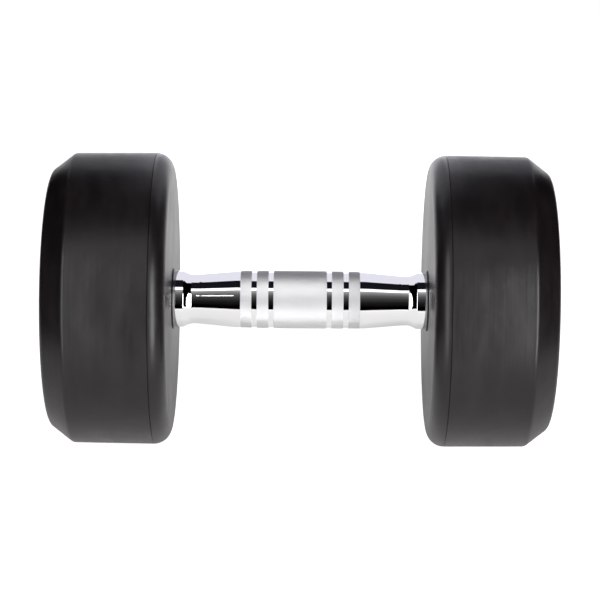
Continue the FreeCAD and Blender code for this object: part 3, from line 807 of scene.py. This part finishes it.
# %% Moulded rubber
RUBBER_BLACK, RUBBER_BLOOM, RUBBER_IOR = "#110D0F", "#201A1B", 1.43
WIPES_PER_MM = (0.12, 0.03, 0.03)
material, tree, shader, place, turned = start_finish("moulded_rubber", RUBBER_BLACK)
shader.inputs["IOR"].default_value = RUBBER_IOR
drawn_out = add(tree, "VectorMath", {0: place, 1: WIPES_PER_MM}, operation="MULTIPLY").outputs[0]
wipes = add(tree, "TexNoise", {
    "Vector": drawn_out, "Scale": 1.0, "Detail": 5, "Roughness": 0.6}).outputs[0]
bloom = add(tree, "MapRange", {
    "Value": wipes, "From Min": 0.45, "From Max": 0.75, "To Min": 0.0, "To Max": 0.6})
blacks = {0: bloom.outputs[0], 6: linear(RUBBER_BLACK), 7: linear(RUBBER_BLOOM)}
colour = add(tree, "Mix", blacks, data_type="RGBA")
tree.links.new(colour.outputs[2], shader.inputs["Base Color"])
sheen = add(tree, "MapRange", {
    "Value": wipes, "From Min": 0.3, "From Max": 0.7, "To Min": 0.33, "To Max": 0.41})
tree.links.new(sheen.outputs[0], shader.inputs["Roughness"])
grain = add(tree, "TexNoise", {"Vector": place, "Scale": 1.1, "Detail": 3}).outputs[0]
swells = add(tree, "TexNoise", {"Vector": place, "Scale": 0.05, "Detail": 2}).outputs[0]
swollen = add(tree, "Bump", {"Height": swells, "Distance": 0.3 * MM, "Strength": 1.0})
rings = add(tree, "TexNoise", {"Vector": turned, "Scale": 0.3, "Detail": 2}).outputs[0]
ringed = add(tree, "Bump", {
    "Height": rings, "Distance": 0.05 * MM, "Strength": 1.0, "Normal": swollen.outputs[0]})
grained = add(tree, "Bump", {
    "Height": grain, "Distance": 0.006 * MM, "Strength": 1.0, "Normal": ringed.outputs[0]})
tree.links.new(grained.outputs[0], shader.inputs["Normal"])
for jacket in jackets:
    wear(jacket, material)

# %% [markdown]
# Inside, out of sight, the weight is a turned steel disc, left as it comes off the lathe: grey,
# with even rings and a film of oil. It is seen when the model is taken apart. Its shape is the
# frame's own, so it only gets a finish, and so do all the other pieces inside.

# %% Turned core steel
material, tree, shader, place, turned = start_finish("turned_steel", "#6E6F71", metallic=1.0)
rings = add(tree, "TexNoise", {"Vector": turned, "Scale": 1.4, "Detail": 3}).outputs[0]
film = add(tree, "TexNoise", {"Vector": place, "Scale": 0.04, "Detail": 3}).outputs[0]
colour = add(tree, "Mix", {0: film, 6: linear("#58595B"), 7: linear("#86878A")}, data_type="RGBA")
tree.links.new(colour.outputs[2], shader.inputs["Base Color"])
oily = add(tree, "MapRange", {"Value": film, "To Min": 0.3, "To Max": 0.5})
tree.links.new(oily.outputs[0], shader.inputs["Roughness"])
ringed = add(tree, "Bump", {"Height": rings, "Distance": 0.02 * MM, "Strength": 1.0})
tree.links.new(ringed.outputs[0], shader.inputs["Normal"])
for side in ("left", "right"):
    wear(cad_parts[f"{side}_head_core"], material)

# %% [markdown]
# The screw and the lock washer are blackened, the thick washer is zinc-plated, and the round
# keys are ground bright. Blackening and zinc both show a soft mottle, and all of them keep fine
# lines from the turning. The three differ in colour and polish alone, so one loop makes them.

# %% Fasteners
# name, darker colour, paler colour, roughness, pieces
HARDWARE = (
    ("black_oxide_steel", "#26272A", "#323134", 0.35, ("clamp_bolt", "lock_washer")),
    ("zinc_plated_steel", "#A9ABB0", "#BDBFC2", 0.30, ("clamp_washer",)),
    ("ground_steel", "#B4B3B0", "#C4C3C0", 0.18, ("upper_key_pin", "lower_key_pin")),
)
for name, dark, pale, roughness, nodes in HARDWARE:
    material, tree, shader, place, turned = start_finish(name, dark, metallic=1.0)
    mottle = add(tree, "TexNoise", {"Vector": place, "Scale": 0.5, "Detail": 4}).outputs[0]
    colour = add(tree, "Mix", {0: mottle, 6: linear(dark), 7: linear(pale)}, data_type="RGBA")
    tree.links.new(colour.outputs[2], shader.inputs["Base Color"])
    dull = add(tree, "MapRange", {
        "Value": mottle, "To Min": roughness * 0.8, "To Max": roughness * 1.2})
    tree.links.new(dull.outputs[0], shader.inputs["Roughness"])
    rings = add(tree, "TexNoise", {"Vector": turned, "Scale": 3.0, "Detail": 2}).outputs[0]
    ringed = add(tree, "Bump", {"Height": rings, "Distance": 0.004 * MM, "Strength": 1.0})
    tree.links.new(ringed.outputs[0], shader.inputs["Normal"])
    for side in ("left", "right"):
        for node in nodes:
            wear(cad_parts[f"{side}_{node}"], material)

# %% [markdown]
# The tape behind each end cap is a closed-cell foam, white and matt, with tiny cells. A Voronoi
# pattern draws them as shallow pits, about 0.4 mm apart.
# The same pattern makes the colour darker in the low grooves between the cells, which is painted
# shade.

# %% Foam tape
FOAM_ROUGHNESS = 0.85
material, tree, shader, place, _ = start_finish("foam_tape", "#DEDCD6")
cells = add(tree, "TexVoronoi", {"Vector": place, "Scale": 2.5}, feature="DISTANCE_TO_EDGE")
cells = cells.outputs[0]
# Darker where the bump is low, between the cells: painted shade in the hollows.
colour = add(tree, "Mix", {0: cells, 6: linear("#C9C7C0"), 7: linear("#E6E4DE")}, data_type="RGBA")
tree.links.new(colour.outputs[2], shader.inputs["Base Color"])
shader.inputs["Roughness"].default_value = FOAM_ROUGHNESS
pitted = add(tree, "Bump", {"Height": cells, "Distance": 0.08 * MM, "Strength": 1.0})
tree.links.new(pitted.outputs[0], shader.inputs["Normal"])
for side in ("left", "right"):
    wear(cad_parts[f"{side}_cap_tape"], material)

# %% [markdown]
# The end caps are spun aluminium, brushed while turning and then anodised clear: silvery, with
# fine rings. The brushing spreads each light across its lines, so the shine meets the eye as two
# fans. Real lines are far too fine to model or to draw, so the shader's own anisotropy spreads
# the light, along a direction that runs round the axis, and a few coarser rings show besides.

# %% Brushed aluminium
BRUSHING = 0.7
material, tree, shader, place, turned = start_finish("brushed_aluminium", "#C6C8CB", metallic=1.0)
rings = add(tree, "TexNoise", {"Vector": turned, "Scale": 2.4, "Detail": 3}).outputs[0]
clouds = add(tree, "TexNoise", {"Vector": place, "Scale": 0.06, "Detail": 3}).outputs[0]
satin = add(tree, "MapRange", {"Value": clouds, "To Min": 0.24, "To Max": 0.36})
tree.links.new(satin.outputs[0], shader.inputs["Roughness"])
ringed = add(tree, "Bump", {"Height": rings, "Distance": 0.012 * MM, "Strength": 1.0})
tree.links.new(ringed.outputs[0], shader.inputs["Normal"])
around = add(tree, "VectorMath", {0: (1, 0, 0), 1: place}, operation="CROSS_PRODUCT")
around = around.outputs[0]
tree.links.new(around, shader.inputs["Tangent"])
shader.inputs["Anisotropic"].default_value = BRUSHING
for cap in end_caps:
    wear(cap, material)

# %% [markdown]
# ## The end
# The view is set to show colours as they are written.

# %% Set the view and finish
bpy.context.scene.view_settings.view_transform = "Standard"
